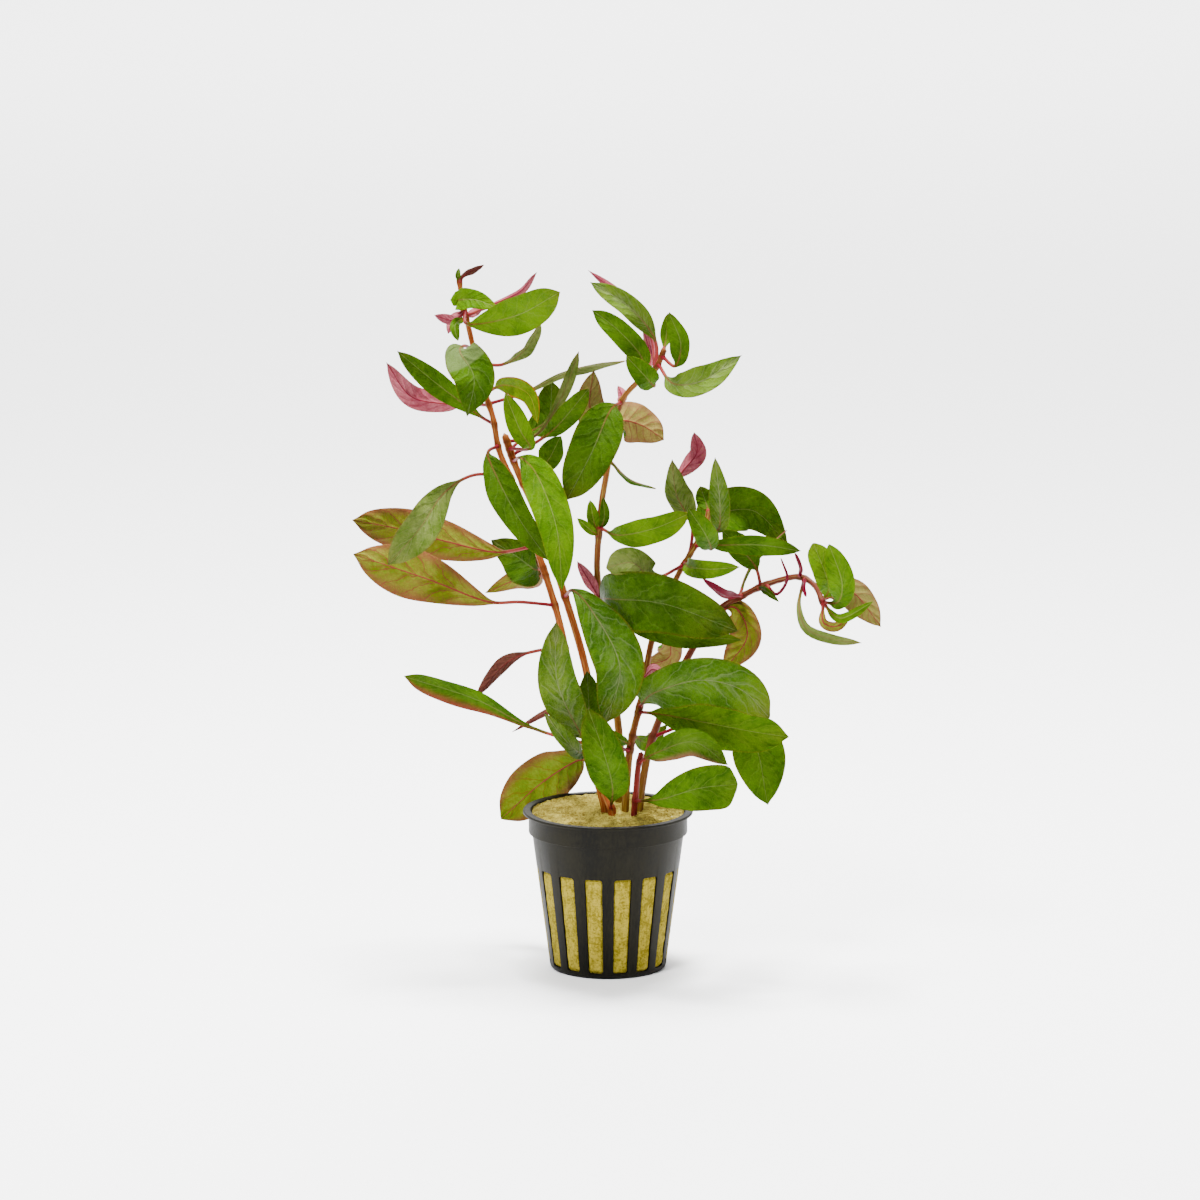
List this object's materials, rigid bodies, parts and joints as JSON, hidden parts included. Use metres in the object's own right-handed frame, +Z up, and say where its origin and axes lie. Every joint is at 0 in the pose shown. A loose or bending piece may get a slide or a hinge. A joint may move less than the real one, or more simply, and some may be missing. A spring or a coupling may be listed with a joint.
{
  "type": "potted ludwigia aquarium plant",
  "caption": "Bushy aquarium stem plant with green, pink-backed lance-shaped leaves, rooted in rockwool in a black slotted net pot.",
  "frame": {"origin": "centre of the pot's underside", "axes": "+Z up along the pot's axis, +X to the right and +Y away as the picture shows the plant"},
  "size_m": [0.1703, 0.0844, 0.228],
  "materials": {
    "pot_plastic": "matte",
    "mineral_wool": "matte",
    "stem": "satin",
    "leaf_green": "satin",
    "leaf_red": "satin"
  },
  "bodies": {
    "root": {"net_pot": "pot_plastic", "rockwool": "mineral_wool", "stem_left": "stem", "stem_left_twin": "stem", "stem_middle": "stem", "stem_right": "stem", "stem_arching": "stem", "stem_short": "stem", "leaf_left_1": "leaf_green", "leaf_left_2": "leaf_green", "leaf_left_3": "leaf_green", "leaf_left_4": "leaf_green", "leaf_left_5": "leaf_green", "leaf_left_6": "leaf_red", "leaf_left_7": "leaf_green", "leaf_left_8": "leaf_green", "leaf_left_9": "leaf_green", "leaf_left_10": "leaf_green", "leaf_left_11": "leaf_red", "leaf_left_12": "leaf_red", "leaf_left_13": "leaf_green", "leaf_left_14": "leaf_red", "leaf_left_15": "leaf_green", "leaf_left_16": "leaf_red", "leaf_left_twin_1": "leaf_green", "leaf_left_twin_2": "leaf_green", "leaf_left_twin_3": "leaf_green", "leaf_left_twin_4": "leaf_green", "leaf_left_twin_5": "leaf_green", "leaf_left_twin_6": "leaf_green", "leaf_left_twin_7": "leaf_green", "leaf_left_twin_8": "leaf_green", "leaf_middle_1": "leaf_green", "leaf_middle_2": "leaf_red", "leaf_middle_3": "leaf_red", "leaf_middle_4": "leaf_green", "leaf_middle_5": "leaf_green", "leaf_middle_6": "leaf_green", "leaf_middle_7": "leaf_green", "leaf_middle_8": "leaf_green", "leaf_middle_9": "leaf_green", "leaf_middle_10": "leaf_green", "leaf_middle_11": "leaf_green", "leaf_right_1": "leaf_green", "leaf_right_2": "leaf_green", "leaf_right_3": "leaf_red", "leaf_right_4": "leaf_red", "leaf_right_5": "leaf_green", "leaf_right_6": "leaf_green", "leaf_right_7": "leaf_green", "leaf_right_8": "leaf_green", "leaf_right_9": "leaf_green", "leaf_right_10": "leaf_red", "leaf_right_11": "leaf_green", "leaf_right_12": "leaf_green", "leaf_arching_1": "leaf_green", "leaf_arching_2": "leaf_red", "leaf_arching_3": "leaf_green"}
  },
  "joints": []
}
